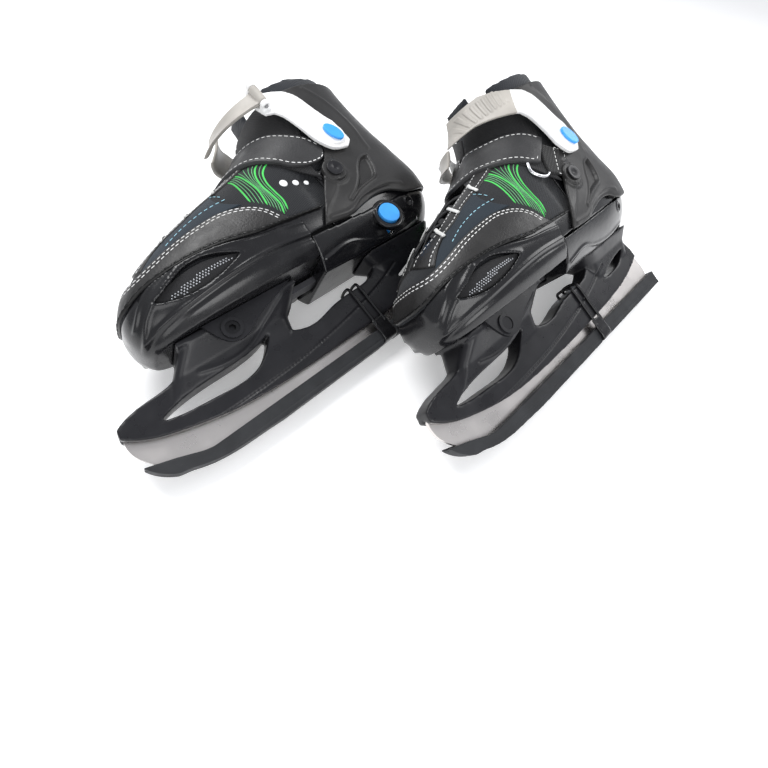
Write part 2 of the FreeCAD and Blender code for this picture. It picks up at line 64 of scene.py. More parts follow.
camera = bpy.data.objects.new("camera", bpy.data.cameras.new("camera"))
bpy.context.scene.collection.objects.link(camera)
camera.location = (0.2249, 0.1891, 0.2812)
camera.rotation_euler = (radians(46.369), radians(-6.6), radians(132.75))
camera.data.lens = 23.44
camera.data.sensor_width = 36.0
camera.data.shift_x = -0.0197
camera.data.shift_y = -0.1227
camera.data.clip_start = 0.01
bpy.context.scene.camera = camera
bpy.context.scene.view_settings.view_transform = "Standard"


def area_light(name, spot, aim, size, watts, colour=(1.0, 1.0, 1.0)):
    lamp = bpy.data.lights.new(name, "AREA")
    lamp.shape = "DISK"
    lamp.size, lamp.energy, lamp.color = size, watts, colour
    holder = bpy.data.objects.new(name, lamp)
    bpy.context.scene.collection.objects.link(holder)
    holder.location = spot
    holder.rotation_euler = (Vector(aim) - Vector(spot)).to_track_quat("-Z", "Y").to_euler()


area_light("key", (0.05, -0.75, 1.15), (0.0, 0.0, 0.0), 0.9, 15.5)
area_light("fill", (0.95, 0.75, 0.8), (0.0, 0.0, 0.0), 0.8, 4.0)
area_light("rim", (-0.95, 0.35, 0.75), (0.0, 0.0, 0.05), 0.6, 4.0)
area_light("blade_side", (0.1, 1.0, 0.55), (0.0, 0.05, 0.0), 0.6, 4.0)

world = bpy.data.worlds.new("studio")
bpy.context.scene.world = world
world.use_nodes = True
world.node_tree.nodes["Background"].inputs["Color"].default_value = (0.93, 0.95, 1.0, 1.0)
world.node_tree.nodes["Background"].inputs["Strength"].default_value = 0.56

# ---------------------------------------------------------------- materials


class Shader:
    """Principled material built from procedural layers in object space."""

    def __init__(self, name, colour, rough, metallic=0.0, coat=0.0, sheen=0.0, specular=0.3):
        self.material = bpy.data.materials.new(name)
        self.material.use_nodes = True
        self.material.diffuse_color = (*colour, 1.0)
        self.tree = self.material.node_tree
        self.shader = self.tree.nodes["Principled BSDF"]
        self.shader.inputs["Metallic"].default_value = metallic
        self.shader.inputs["Specular IOR Level"].default_value = 0.5 if metallic else specular
        self.shader.inputs["Coat Weight"].default_value = coat
        self.shader.inputs["Coat Roughness"].default_value = 0.12
        self.shader.inputs["Sheen Weight"].default_value = sheen
        self.shader.inputs["Base Color"].default_value = (*colour, 1.0)
        self.shader.inputs["Roughness"].default_value = rough
        self.colour, self.rough = colour, rough
        self.where = self.tree.nodes.new("ShaderNodeTexCoord").outputs["Object"]
        self.height = None

    def link(self, a, b):
        self.tree.links.new(a, b)

    def noise(self, scale, detail=3.0, stretch=None):
        node = self.tree.nodes.new("ShaderNodeTexNoise")
        node.inputs["Scale"].default_value = scale
        node.inputs["Detail"].default_value = detail
        self.link(self.scaled(stretch), node.inputs["Vector"])
        return node.outputs["Fac"]

    def scaled(self, stretch):
        if stretch is None:
            return self.where
        node = self.tree.nodes.new("ShaderNodeMapping")
        node.inputs["Scale"].default_value = stretch
        self.link(self.where, node.inputs["Vector"])
        return node.outputs["Vector"]

    def math(self, kind, a, b):
        node = self.tree.nodes.new("ShaderNodeMath")
        node.operation = kind
        for socket, value in zip(node.inputs, (a, b)):
            if isinstance(value, (int, float)):
                socket.default_value = value
            else:
                self.link(value, socket)
        return node.outputs[0]

    def remap(self, value, from_low, from_high, low, high):
        node = self.tree.nodes.new("ShaderNodeMapRange")
        for socket, number in zip(node.inputs[1:5], (from_low, from_high, low, high)):
            socket.default_value = number
        self.link(value, node.inputs[0])
        return node.outputs[0]

    def tint(self, mask, colour):
        """Blends the colour so far towards another by mask."""
        node = self.tree.nodes.new("ShaderNodeMix")
        node.data_type = "RGBA"
        base = self.shader.inputs["Base Color"]
        if base.is_linked:
            self.link(base.links[0].from_socket, node.inputs[6])
        else:
            node.inputs[6].default_value = base.default_value
        node.inputs[7].default_value = (*colour, 1.0)
        self.link(mask, node.inputs[0])
        self.link(node.outputs[2], base)
        return self

    def vary(self, scale=60.0, amount=0.3):
        """Slow, uneven lightening and darkening."""
        mask = self.remap(self.noise(scale, 4.0), 0.35, 0.7, 0.0, 1.0)
        return self.tint(mask, tuple(min(1.0, c * (1.0 + amount)) for c in self.colour))

    def gloss(self, scale=90.0, spread=0.08):
        value = self.remap(self.noise(scale, 5.0), 0.3, 0.7, self.rough - spread, self.rough + spread)
        self.link(value, self.shader.inputs["Roughness"])
        return self

    def raise_by(self, value, distance):
        bump = self.tree.nodes.new("ShaderNodeBump")
        bump.inputs["Strength"].default_value = 1.0
        bump.inputs["Distance"].default_value = distance
        self.link(value, bump.inputs["Height"])
        if self.height is not None:
            self.link(self.height, bump.inputs["Normal"])
        self.height = bump.outputs["Normal"]
        self.link(self.height, self.shader.inputs["Normal"])
        return self

    def grain(self, scale=1400.0, distance=0.00004):
        return self.raise_by(self.noise(scale, 2.0), distance)

    def scuffs(self, colour, stretch=(40.0, 400.0, 400.0), amount=0.35):
        """Fine pale scratches."""
        lines = self.noise(6.0, 8.0, stretch)
        mask = self.remap(lines, 0.66, 0.78, 0.0, amount)
        return self.tint(mask, colour)

    def pebble(self, scale=900.0, distance=0.00012):
        """Leather grain."""
        node = self.tree.nodes.new("ShaderNodeTexVoronoi")
        node.feature = "SMOOTH_F1"
        node.inputs["Scale"].default_value = scale
        self.link(self.where, node.inputs["Vector"])
        return self.raise_by(node.outputs["Distance"], distance)

    def weave(self, scale=260.0, distance=0.00018, mark=0.5):
        """Crossed yarns."""
        waves = []
        for turn in ((1.0, 0.35, 0.2), (-0.35, 1.0, 0.6)):
            node = self.tree.nodes.new("ShaderNodeTexWave")
            node.inputs["Scale"].default_value = scale
            node.inputs["Distortion"].default_value = 0.4
            node.inputs["Detail"].default_value = 1.0
            dot = self.tree.nodes.new("ShaderNodeVectorMath")
            dot.operation = "DOT_PRODUCT"
            dot.inputs[1].default_value = turn
            self.link(self.where, dot.inputs[0])
            combined = self.tree.nodes.new("ShaderNodeCombineXYZ")
            self.link(dot.outputs["Value"], combined.inputs[0])
            self.link(combined.outputs[0], node.inputs["Vector"])
            waves.append(node.outputs["Fac"])
        crossed = self.math("MULTIPLY", waves[0], waves[1])
        self.tint(self.math("MULTIPLY", crossed, mark), tuple(min(1.0, c * 1.8 + 0.004) for c in self.colour))
        return self.raise_by(crossed, distance)


def plastic(name, colour, rough, coat=0.0, grain=0.00003, scuff=None):
    made = Shader(name, colour, rough, coat=coat).vary(45.0, 0.35).gloss().grain(1500.0, grain)
    if scuff:
        made.scuffs(scuff)
    return made.material


MATERIALS = {
    "holder": plastic("holder_satin", (0.012, 0.012, 0.014), 0.32, scuff=(0.07, 0.07, 0.07)),
    "guard": Shader("guard_rubber", (0.020, 0.021, 0.023), 0.6).vary(70.0, 0.4).gloss()
    .grain(2200.0, 0.00006).scuffs((0.06, 0.06, 0.06)).material,
    "tie": plastic("tie_silicone", (0.008, 0.008, 0.009), 0.2, coat=0.3),
    "shell": plastic("shell_gloss", (0.007, 0.007, 0.008), 0.24, coat=0.25, scuff=(0.05, 0.05, 0.05)),
    "heel": plastic("heel_gloss", (0.005, 0.005, 0.006), 0.2, coat=0.4, scuff=(0.04, 0.04, 0.04)),
    "cuff": plastic("cuff_satin", (0.022, 0.0215, 0.0215), 0.4, grain=0.00005, scuff=(0.06, 0.06, 0.06)),
    "arm": plastic("arm_white", (0.80, 0.80, 0.79), 0.3, coat=0.3),
    "ladder": plastic("ladder_grey", (0.37, 0.35, 0.32), 0.4, grain=0.00005),
    "blue": plastic("cap_blue", (0.045, 0.30, 0.75), 0.35, coat=0.2),
    "welt": plastic("welt_black", (0.004, 0.004, 0.004), 0.3),
    "rack": plastic("rack_plastic", (0.05, 0.05, 0.055), 0.5),
}


def metal(name, colour, rough, brushed=(30.0, 3000.0, 3000.0)):
    made = Shader(name, colour, rough, metallic=1.0).vary(35.0, 0.12).gloss(60.0, 0.06)
    made.raise_by(made.noise(4.0, 4.0, brushed), 0.00002)
    return made.material


def fabric(name, colour, scale=260.0, rough=0.85, sheen=0.12, distance=0.00018):
    return Shader(name, colour, rough, sheen=sheen).vary(40.0, 0.4).weave(scale, distance).material


def leather(name, colour, rough=0.5):
    made = Shader(name, colour, rough).vary(50.0, 0.45).gloss(120.0, 0.1).pebble()
    made.scuffs(tuple(c * 3.0 for c in colour), amount=0.2)
    return made.material


MATERIALS.update({
    "steel": metal("runner_steel", (0.66, 0.63, 0.61), 0.3),
    "bolt": metal("bolt_oxide", (0.03, 0.03, 0.032), 0.35),
    "rivet": metal("rivet_steel", (0.32, 0.32, 0.33), 0.3),
    "spring": metal("spring_steel", (0.45, 0.45, 0.45), 0.25),
    "chrome": metal("ring_chrome", (0.62, 0.62, 0.64), 0.12, (400.0, 400.0, 400.0)),
    "vent": metal("vent_silver", (0.36, 0.37, 0.39), 0.4, (400.0, 400.0, 400.0)),
    "vent_back": fabric("vent_backing", (0.012, 0.012, 0.013), 500.0),
    "quarter": fabric("quarter_mesh", (0.008, 0.009, 0.011), 330.0),
    "navy": fabric("navy_panel", (0.008, 0.015, 0.023), 420.0, 0.7, 0.1, 0.0001),
    "lining": fabric("lining_black", (0.012, 0.012, 0.013), 300.0, sheen=0.15),
    "collar": fabric("collar_fabric", (0.014, 0.016, 0.020), 240.0, sheen=0.15),
    "tongue": fabric("tongue_fabric", (0.016, 0.018, 0.022), 260.0, sheen=0.15),
    "foam": fabric("footbed_foam", (0.03, 0.03, 0.032), 500.0),
    "webbing": fabric("webbing_black", (0.012, 0.012, 0.012), 180.0, distance=0.0003),
    "lace": fabric("lace_cord", (0.015, 0.015, 0.016), 420.0, distance=0.0003),
    "loop": fabric("loop_white", (0.62, 0.62, 0.60), 380.0, distance=0.0002),
    "toe_leather": leather("toe_leather", (0.020, 0.0195, 0.0195), 0.4),
    "strap_leather": leather("strap_leather", (0.028, 0.028, 0.029), 0.44),
    "thread": fabric("thread_white", (0.78, 0.78, 0.75), 900.0, distance=0.00008),
    "blue_thread": fabric("thread_blue", (0.30, 0.55, 0.68), 900.0, distance=0.00008),
    "green": fabric("print_green", (0.055, 0.46, 0.085), 700.0, 0.5, 0.0, 0.00005),
    "pale_green": fabric("print_pale_green", (0.12, 0.38, 0.16), 700.0, 0.5, 0.0, 0.00005),
    "print_white": fabric("print_white", (0.74, 0.75, 0.76), 700.0, 0.5, 0.0, 0.00005),
    "floor": Shader("table_top", (0.90, 0.90, 0.90), 0.55).vary(3.0, 0.03).gloss(8.0, 0.05).material,
})

floor = bpy.data.objects.new("table_top", bpy.data.meshes.new("table_top"))
bpy.context.scene.collection.objects.link(floor)
floor.data.from_pydata([(-30, -30, 0), (30, -30, 0), (30, 30, 0), (-30, 30, 0)], [], [(0, 1, 2, 3)])
floor.data.materials.append(MATERIALS["floor"])
glow = MATERIALS["floor"].node_tree.nodes["Principled BSDF"]
glow.inputs["Emission Color"].default_value = (1.0, 1.0, 1.0, 1.0)
glow.inputs["Emission Strength"].default_value = 0.3

# ---------------------------------------------------------------- curves and the boot's skin

# height, heel x, front x, half width, fullness of the ends, width kept at the waist
LEVELS = np.array((
    (60.0, -186.0, 26.0, 27.0, 0.62, 0.86),
    (66.0, -192.0, 38.0, 34.0, 0.60, 0.86),
    (74.0, -198.0, 45.0, 39.5, 0.58, 0.87),
    (84.0, -201.5, 48.0, 44.5, 0.58, 0.88),
    (96.0, -203.0, 47.0, 47.0, 0.60, 0.88),
    (108.0, -203.5, 40.5, 46.0, 0.64, 0.90),
    (120.0, -203.5, 27.0, 43.5, 0.70, 0.94),
    (130.0, -203.0, 9.0, 42.5, 0.76, 0.96),
    (140.0, -202.0, -14.0, 41.5, 0.84, 0.98),
    (150.0, -200.5, -41.0, 40.5, 0.92, 1.0),
    (160.0, -199.0, -63.0, 39.5, 0.97, 1.0),
    (175.0, -197.0, -83.0, 38.5, 1.0, 1.0),
    (190.0, -196.0, -94.0, 38.0, 1.0, 1.0),
    (206.0, -196.5, -100.0, 38.0, 1.0, 1.0),
    (214.0, -197.0, -101.0, 38.0, 1.0, 1.0),
))
WAIST_AT, WAIST_WIDTH = 0.33, 0.25
ANKLE = (-119.0, 117.5)
BUTTON = (-140.0, 73.0)
BUCKLE = (-137.0, 143.0)
MM = 0.001
OUTER, INNER = 1.0, -1.0


def hermite(at, knots, values):
    """Smooth curve through the values."""
    knots, values = np.asarray(knots, float), np.asarray(values, float)
    at = np.clip(at, knots[0], knots[-1])
    i = np.clip(np.searchsorted(knots, at, "right") - 1, 0, len(knots) - 2)
    slope = np.gradient(values, knots) if len(knots) > 2 else np.diff(values).repeat(2) / np.diff(knots)
    h = knots[i + 1] - knots[i]
    t = (at - knots[i]) / h
    return ((1 + 2 * t) * (1 - t) ** 2 * values[i] + t * (1 - t) ** 2 * h * slope[i]
            + t * t * (3 - 2 * t) * values[i + 1] + t * t * (t - 1) * h * slope[i + 1])


def curve(points, steps):
    """Smooth path through the points, resampled evenly, or at the given fractions of its length."""
    points = np.array(points, float)
    chord = np.r_[0.0, np.cumsum(np.linalg.norm(np.diff(points, axis=0), axis=1))]
    fine = np.linspace(0.0, chord[-1], 500)
    dense = np.stack([hermite(fine, chord, column) for column in points.T], 1)
    length = np.r_[0.0, np.cumsum(np.linalg.norm(np.diff(dense, axis=0), axis=1))]
    fractions = np.linspace(0.0, 1.0, steps) if isinstance(steps, int) else steps
    return np.stack([np.interp(fractions * length[-1], length, column) for column in dense.T], 1)


def smooth(value, low, high):
    t = np.clip((value - low) / (high - low), 0.0, 1.0)
    return t * t * (3 - 2 * t)


def bare_skin(a, z):
    back, front, half, full, waist = (hermite(z, LEVELS[:, 0], LEVELS[:, i]) for i in range(1, 6))
    t = (1.0 - np.cos(a)) / 2.0
    s = np.sin(a)
    narrow = 1.0 - (1.0 - waist) * np.exp(-((t - WAIST_AT) / WAIST_WIDTH) ** 2)
    across = np.sign(s) * half * np.abs(s) ** full * narrow
    return np.stack([back + (front - back) * t, across, z + 0.0 * a], -1)


def skin(a, z, out=0.0):
    """Points on the boot at angle a round it, 0 at the heel and pi at the toe, and their normals."""
    a, z = np.broadcast_arrays(np.asarray(a, float), np.asarray(z, float))
    along = bare_skin(a + 0.004, z) - bare_skin(a - 0.004, z)
    up = bare_skin(a, z + 0.4) - bare_skin(a, z - 0.4)
    normal = np.cross(up, along)
    normal /= np.linalg.norm(normal, axis=-1, keepdims=True) + 1e-12
    return bare_skin(a, z) + normal * np.broadcast_to(out, a.shape)[..., None], normal


def angle(x, z, side):
    """Angle of a point seen from one side; the inner side runs on from pi to 2 pi."""
    back, front = (hermite(z, LEVELS[:, 0], LEVELS[:, i]) for i in (1, 2))
    t = np.clip((np.asarray(x, float) - back) / (front - back), 1e-4, 1.0 - 1e-4)
    a = np.arccos(1.0 - 2.0 * t)
    return a if side > 0 else 2.0 * pi - a


def side_curve(points, side, steps):
    """Path over the skin through points given in x and z, as rows of angle and height."""
    path = curve(points, steps)
    return np.stack([angle(path[:, 0], path[:, 1], side), path[:, 1]], 1)


def round_curve(points, steps):
    """Smooth path through angles and heights, the angles weighed as lengths round the boot."""
    girth = np.array((45.0, 1.0))
    return curve(np.array(points) * girth, steps) / girth


def skin_y(x, z):
    return np.abs(bare_skin(angle(x, z, OUTER), np.asarray(z, float))[..., 1])


def off_curve(x, z, points):
    """Distance in side view from a path, and the side of it: positive above."""
    path = curve(points, 160)
    gap = np.stack([x[:, None] - path[None, :, 0], z[:, None] - path[None, :, 1]], -1)
    far = np.linalg.norm(gap, axis=-1)
    near = far.argmin(1)
    return far[np.arange(len(x)), near], gap[np.arange(len(x)), near, 1]


def inside(x, z, points):
    """True inside a closed outline in side view."""
    ring = np.array(points, float)
    hit = np.zeros(len(x), bool)
    for (x0, z0), (x1, z1) in zip(ring, np.roll(ring, -1, axis=0)):
        crossing = ((z0 > z) != (z1 > z)) & (x < (x1 - x0) * (z - z0) / (z1 - z0 + 1e-12) + x0)
        hit ^= crossing
    return hit


# ---------------------------------------------------------------- one skate


class Skate:
    def __init__(self, side):
        self.side = side
        toe = Vector(JOINTS[side + "_toe_size_slide"]["axis"]).normalized()
        across = Vector(JOINTS[side + "_cuff_flex"]["axis"]).normalized()
        turn = Matrix((toe, across, toe.cross(across))).transposed()
        low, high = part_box(side + "_cuff_rivets")
        origin = (low + high) / 2 - turn @ Vector((ANKLE[0], 0.0, ANKLE[1])) * MM
        self.flip = 1.0 if side == "left" else -1.0
        self.turn, self.origin = np.array(turn), np.array(origin)

    def place(self, points):
        return (np.asarray(points) * (1.0, self.flip, 1.0) * MM) @ self.turn.T + self.origin

    def local(self, points):
        return (np.asarray(points) - self.origin) @ self.turn / MM * (1.0, self.flip, 1.0)

    def local_turn(self, vectors):
        return np.asarray(vectors) @ self.turn * (1.0, self.flip, 1.0)

    def body(self, part):
        return self.side + "_" + part

    def finish(self, piece, body, nodes):
        """Hangs a piece on its body, or for the stretch and flex bodies bakes its transform and leaves it
        unattached; hides the CAD parts it replaces.
        """
        if body == "stretch":
            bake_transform(piece)
        elif body == "flex":
            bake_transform(piece)
        else:
            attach(piece, self.body(body))
        if nodes:
            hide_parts(*(self.side + "_" + node for node in nodes))
        return piece

    def mesh(self, name, points, faces, material, body, slot, nodes=(), rounded=True):
        points = self.place(points)
        if self.flip < 0:
            faces = [tuple(reversed(face)) for face in faces]
        data = bpy.data.meshes.new(self.side + "_" + name)
        data.from_pydata(points.tolist(), [], [tuple(int(i) for i in face) for face in faces])
        data.materials.append(MATERIALS[material])
        data.polygons.foreach_set("use_smooth", [rounded] * len(data.polygons))
        piece = bpy.data.objects.new(self.side + "_" + name, data)
        bpy.context.scene.collection.objects.link(piece)
        return self.finish(piece, body, nodes)

    def eased_copy(self, node, ending, voxel, rounds):
        """A copy of the CAD part as one even skin with its edges eased."""
        piece = bpy.data.objects.new(self.side + "_" + node + ending, NODES[self.side + "_" + node].data.copy())
        bpy.context.scene.collection.objects.link(piece)
        remesh = piece.modifiers.new("remesh", "REMESH")
        remesh.mode, remesh.voxel_size, remesh.use_smooth_shade = "VOXEL", voxel * MM, True
        ease = piece.modifiers.new("ease", "SMOOTH")
        ease.factor, ease.iterations = 0.5, rounds
        bake(piece)
        return piece

    def dress(self, piece, material, body, node, slot):
        piece.data.materials.clear()
        piece.data.materials.append(MATERIALS[material])
        piece.data.polygons.foreach_set("use_smooth", [True] * len(piece.data.polygons))
        return self.finish(piece, body, (node,))

    def moulded(self, node, material, body, slot, voxel, rounds, shape=None):
        """The CAD part with its edges eased and its surface shaped."""
        piece = self.eased_copy(node, "_moulded", voxel, rounds)
        if shape:
            points, normals = vertices(piece.data)
            set_points(piece.data, self.place(shape(self.local(points), self.local_turn(normals))))
        return self.dress(piece, material, body, node, slot)


def bake(piece):
    """Applies the modifiers."""
    graph = bpy.context.evaluated_depsgraph_get()
    graph.update()
    made = bpy.data.meshes.new_from_object(piece.evaluated_get(graph))
    piece.modifiers.clear()
    piece.data = made


def vertices(data):
    points = np.empty(len(data.vertices) * 3)
    data.vertices.foreach_get("co", points)
    normals = np.empty(len(data.vertices) * 3)
    data.vertices.foreach_get("normal", normals)
    return points.reshape(-1, 3), normals.reshape(-1, 3)


def set_points(data, points):
    data.vertices.foreach_set("co", points.astype(np.float32).ravel())
    data.update()


def grid_faces(rows, columns, start=0, closed=False):
    faces = []
    for i in range(rows - 1):
        for j in range(columns if closed else columns - 1):
            k = (j + 1) % columns
            faces.append((start + i * columns + j, start + i * columns + k,
                          start + (i + 1) * columns + k, start + (i + 1) * columns + j))
    return faces


def tight(steps, length, edge=0.9):
    """Fractions of a length that crowd at both ends, for a rolled edge."""
    e = min(edge / length, 0.2)
    return np.r_[0.0, 0.25 * e, 0.6 * e, np.linspace(e, 1.0 - e, steps), 1.0 - 0.6 * e, 1.0 - 0.25 * e, 1.0]


def panel(skate, name, low, high, out, thick, material, body, slot, nodes=(), steps=70, across=16, crown=0.0):
    """Sheet on the skin between two paths of angle and height, with rolled edges."""
    low_mm, _ = skin(low[:, 0], low[:, 1])
    high_mm, _ = skin(high[:, 0], high[:, 1])
    length = max(1.0, np.linalg.norm(np.diff(low_mm, axis=0), axis=1).sum())
    width = max(1.0, np.linalg.norm(high_mm - low_mm, axis=1).mean())
    u, v = tight(steps, length), tight(across, width)
    at = np.linspace(0.0, 1.0, len(low))
    lower = np.stack([np.interp(u, at, low[:, i]) for i in (0, 1)], 1)
    upper = np.stack([np.interp(u, at, high[:, i]) for i in (0, 1)], 1)
    grid = lower[:, None] + (upper - lower)[:, None] * v[None, :, None]
    edge_u = np.minimum(u, 1.0 - u) * length
    edge_v = np.minimum(v, 1.0 - v) * width
    roll = np.minimum(edge_u[:, None], edge_v[None, :])
    lift = thick * np.sqrt(np.clip(1.0 - (1.0 - np.clip(roll / 0.9, 0.0, 1.0)) ** 2, 0.0, 1.0))
    lift = lift + crown * (4.0 * v * (1.0 - v))[None, :]
    points, _ = skin(grid[..., 0], grid[..., 1], out + lift)
    rows, columns = points.shape[:2]
    faces = grid_faces(rows, columns)
    i, j = rows // 2, columns // 2
    _, normal = skin(grid[i, j, 0], grid[i, j, 1])
    if np.dot(np.cross(points[i, j + 1] - points[i, j], points[i + 1, j] - points[i, j]), normal) < 0:
        faces = [tuple(reversed(face)) for face in faces]
    return skate.mesh(name, points.reshape(-1, 3), faces, material, body, slot, nodes)


def dashes(skate, name, paths, out, material, body, slot, length=2.6, gap=1.5, width=0.75):
    """Stitches along paths of angle and height on the skin."""
    points, faces = [], []
    profile = ((-0.5, 0.35), (-0.36, 1), (0.36, 1), (0.5, 0.35))
    for path in paths:
        at = np.linspace(0, 1, len(path))
        fine = np.stack([np.interp(np.linspace(0, 1, 600), at, column) for column in path.T], 1)
        spot, normal = skin(fine[:, 0], fine[:, 1], out)
        run = np.r_[0.0, np.cumsum(np.linalg.norm(np.diff(spot, axis=0), axis=1))]
        for middle in np.arange(length * 0.7, run[-1] - length * 0.5, length + gap):
            ends = [np.array([np.interp(middle + half, run, column) for column in spot.T])
                    for half in (-length / 2, length / 2)]
            up = np.array([np.interp(middle, run, normal[:, i]) for i in range(3)])
            along = ends[1] - ends[0]
            along /= np.linalg.norm(along) + 1e-9
            beside = np.cross(along, up)
            centre = (ends[0] + ends[1]) / 2
            start = len(points)
            for at, scale in profile:
                for k in range(6):
                    turn = 2.0 * pi * k / 6
                    points.append(centre + along * at * length
                                  + (beside * np.cos(turn) + up * 0.55 * np.sin(turn)) * scale * width / 2)
            faces += grid_faces(4, 6, start, closed=True)
            faces.append(tuple(range(start + 5, start - 1, -1)))
            faces.append(tuple(range(start + 18, start + 24)))
    return skate.mesh(name, np.array(points), faces, material, body, slot)


def raised_lines(skate, name, paths, out, width, height, material, body, slot):
    """Low printed or piped lines along paths of angle and height, tapered at both ends."""
    points, faces = [], []
    for path in paths:
        spot, normal = skin(path[:, 0], path[:, 1], out)
        along = np.gradient(spot, axis=0)
        along /= np.linalg.norm(along, axis=1, keepdims=True) + 1e-9
        beside = np.cross(along, normal)
        taper = np.minimum(1.0, np.minimum(np.arange(len(path)), np.arange(len(path))[::-1]) / 3.0 + 0.15)
        start = len(points)
        for i in range(len(path)):
            for s, h in ((-0.5, 0), (-0.3, 0.8), (0, 1), (0.3, 0.8), (0.5, 0)):
                points.append(spot[i] + beside[i] * s * width * taper[i] + normal[i] * h * height)
        faces += grid_faces(len(path), 5, start)
    return skate.mesh(name, np.array(points), faces, material, body, slot)


def tube(skate, name, paths, radius, material, body, slot, nodes=(), sides=10, flat=1.0):
    """Round or flattened strands through points in the skate's frame."""
    points, faces = [], []
    for path, up in paths:
        path = np.asarray(path)
        along = np.gradient(path, axis=0)
        along /= np.linalg.norm(along, axis=1, keepdims=True) + 1e-9
        beside = np.cross(along, np.asarray(up))
        beside /= np.linalg.norm(beside, axis=1, keepdims=True) + 1e-9
        upward = np.cross(beside, along)
        start = len(points)
        for i in range(len(path)):
            for k in range(sides):
                turn = 2.0 * pi * k / sides
                points.append(path[i] + (beside[i] * np.cos(turn) + upward[i] * flat * np.sin(turn)) * radius)
        faces += grid_faces(len(path), sides, start, closed=True)
        faces.append(tuple(range(start + sides - 1, start - 1, -1)))
        faces.append(tuple(range(start + (len(path) - 1) * sides, start + len(path) * sides)))
    return skate.mesh(name, np.array(points), faces, material, body, slot, nodes)


def outer_face(points, normals, slack=1.6):
    """1 on the outside of a wall that follows the skin, 0 on its inside and edges."""
    x, y, z = points.T
    facing = normals[:, 1] * np.sign(y)
    return smooth(facing, 0.1, 0.45) * (np.abs(y) > skin_y(x, z) - slack)


def push(points, normals, amount):
    return points + normals * amount[:, None]


def line(x, z, path, amount, width):
    """Ridge, or groove when amount is negative, along a path in side view."""
    far, _ = off_curve(x, z, path)
    return amount * np.exp(-(far / width) ** 2)


# ---------------------------------------------------------------- running gear

BEAM_GROOVE = ((30, 22), (0, 22.5), (-30, 24), (-60, 27.5), (-92, 33), (-118, 39.5), (-134, 45))
FRONT_EDGE = ((26, 50), (16, 47.5), (4, 46.5), (-8, 48.5), (-20, 54), (-40, 63.5))


def shape_holder(points, normals):
    x, _, z = points.T
    side = smooth(np.abs(normals[:, 1]), 0.35, 0.8)
    raised = line(x, z, BEAM_GROOVE, -0.9, 0.75) + line(x, z, FRONT_EDGE, 0.7, 1.3)
    return push(points, normals, side * raised)


def shape_guard(points, normals):
    z = points[:, 2]
    side = smooth(np.abs(normals[:, 1]), 0.4, 0.8)
    rib = -0.35 * np.exp(-((z - 3.4) / 0.6) ** 2)
    moved = push(points, normals, side * rib)
    moved[:, 2] -= 2.0 * smooth(z, 7.0, 12.0)
    return moved


def guard_tie(skate):
    """Silicone tie: two round strands over the beam and a band round blade and guard."""
    half, low, top = 7.9, 0.9, 47.0
    strands = []
    for x in (-96.3, -88.2):
        rise = ((x, half + 0.2, 13.0), (x, half, 30.0), (x, half - 0.1, 43.0), (x, half - 1.0, 46.6), (x, 4.0, top + 0.3))
        fall = tuple((x, -y, z) for _, y, z in reversed(rise))
        path = curve(rise + fall, 60)
        strands.append((path, np.tile((1.0, 0.0, 0.0), (60, 1))))
    tube(skate, "tie_strands", strands, 1.15, "tie", "skate", "tie_silicone")
    route = curve(((0, 17.5), (0, 10), (0, 4), (-0.7, 1.6), (-3.2, low), (-half, low - 0.05),
                   (3.2 - 2 * half, low), (0.7 - 2 * half, 1.6), (-2 * half, 4.0), (-2 * half, 10.0),
                   (-2 * half, 17.5)), 70)
    route[:, 0] += half
    section = [(-6, 0), (-5.7, 0.55), (-4.5, 0.7), (4.5, 0.7), (5.7, 0.55), (6, 0), (5.7, -0.55), (4.5, -0.7),
               (-4.5, -0.7), (-5.7, -0.55)]
    tangent = np.gradient(route, axis=0)
    tangent /= np.linalg.norm(tangent, axis=1, keepdims=True)
    normal = np.stack([tangent[:, 1], -tangent[:, 0]], 1)
    points = []
    for spot, out in zip(route, normal):
        for across, up in section:
            points.append((-92.2 + across, spot[0] + out[0] * up, spot[1] + out[1] * up))
    count = len(section)
    faces = grid_faces(len(route), count, closed=True)
    faces.append(tuple(range(count - 1, -1, -1)))
    faces.append(tuple(range((len(route) - 1) * count, len(route) * count)))
    skate.mesh("tie_band", np.array(points), faces, "tie", "skate", "tie_silicone", ("guard_tie",))


# ---------------------------------------------------------------- hard shells

SHELL_LINE = ((-100, 96), (-72, 97), (-42, 98.5), (-20, 102.5), (3, 104.5), (24, 103.5), (37, 101),
              (44, 98), (50, 96))
BELLY_RIDGE = ((47, 76), (31, 79), (3, 82), (-40, 85), (-72, 83.5))
UPPER_RIDGE = ((44, 86), (32, 97.5), (8, 100.5), (-20, 99), (-48, 94.5), (-72, 91.5))
NOSE_RIDGE = ((43, 78), (37, 86), (27, 93), (10, 99))
VENT = ((-25, 91.5), (-14, 95.5), (-5, 98.2), (8, 98.5), (20, 96.2), (31, 91.5), (22, 87.5), (11, 84.8),
        (-2, 84.6), (-13, 87))


VENT_MESH = ((35, 84), (29, 87.6), (20, 90), (10, 92), (-1, 93.2), (-14, 93.4), (-19, 91.6),
             (-8, 90.4), (4, 88), (14, 86), (24, 84))
VENT += VENT[:1]
VENT_MESH += VENT_MESH[:1]


def shell_top(x):
    line_points = np.array(SHELL_LINE)
    return hermite(x, line_points[:, 0], line_points[:, 1])


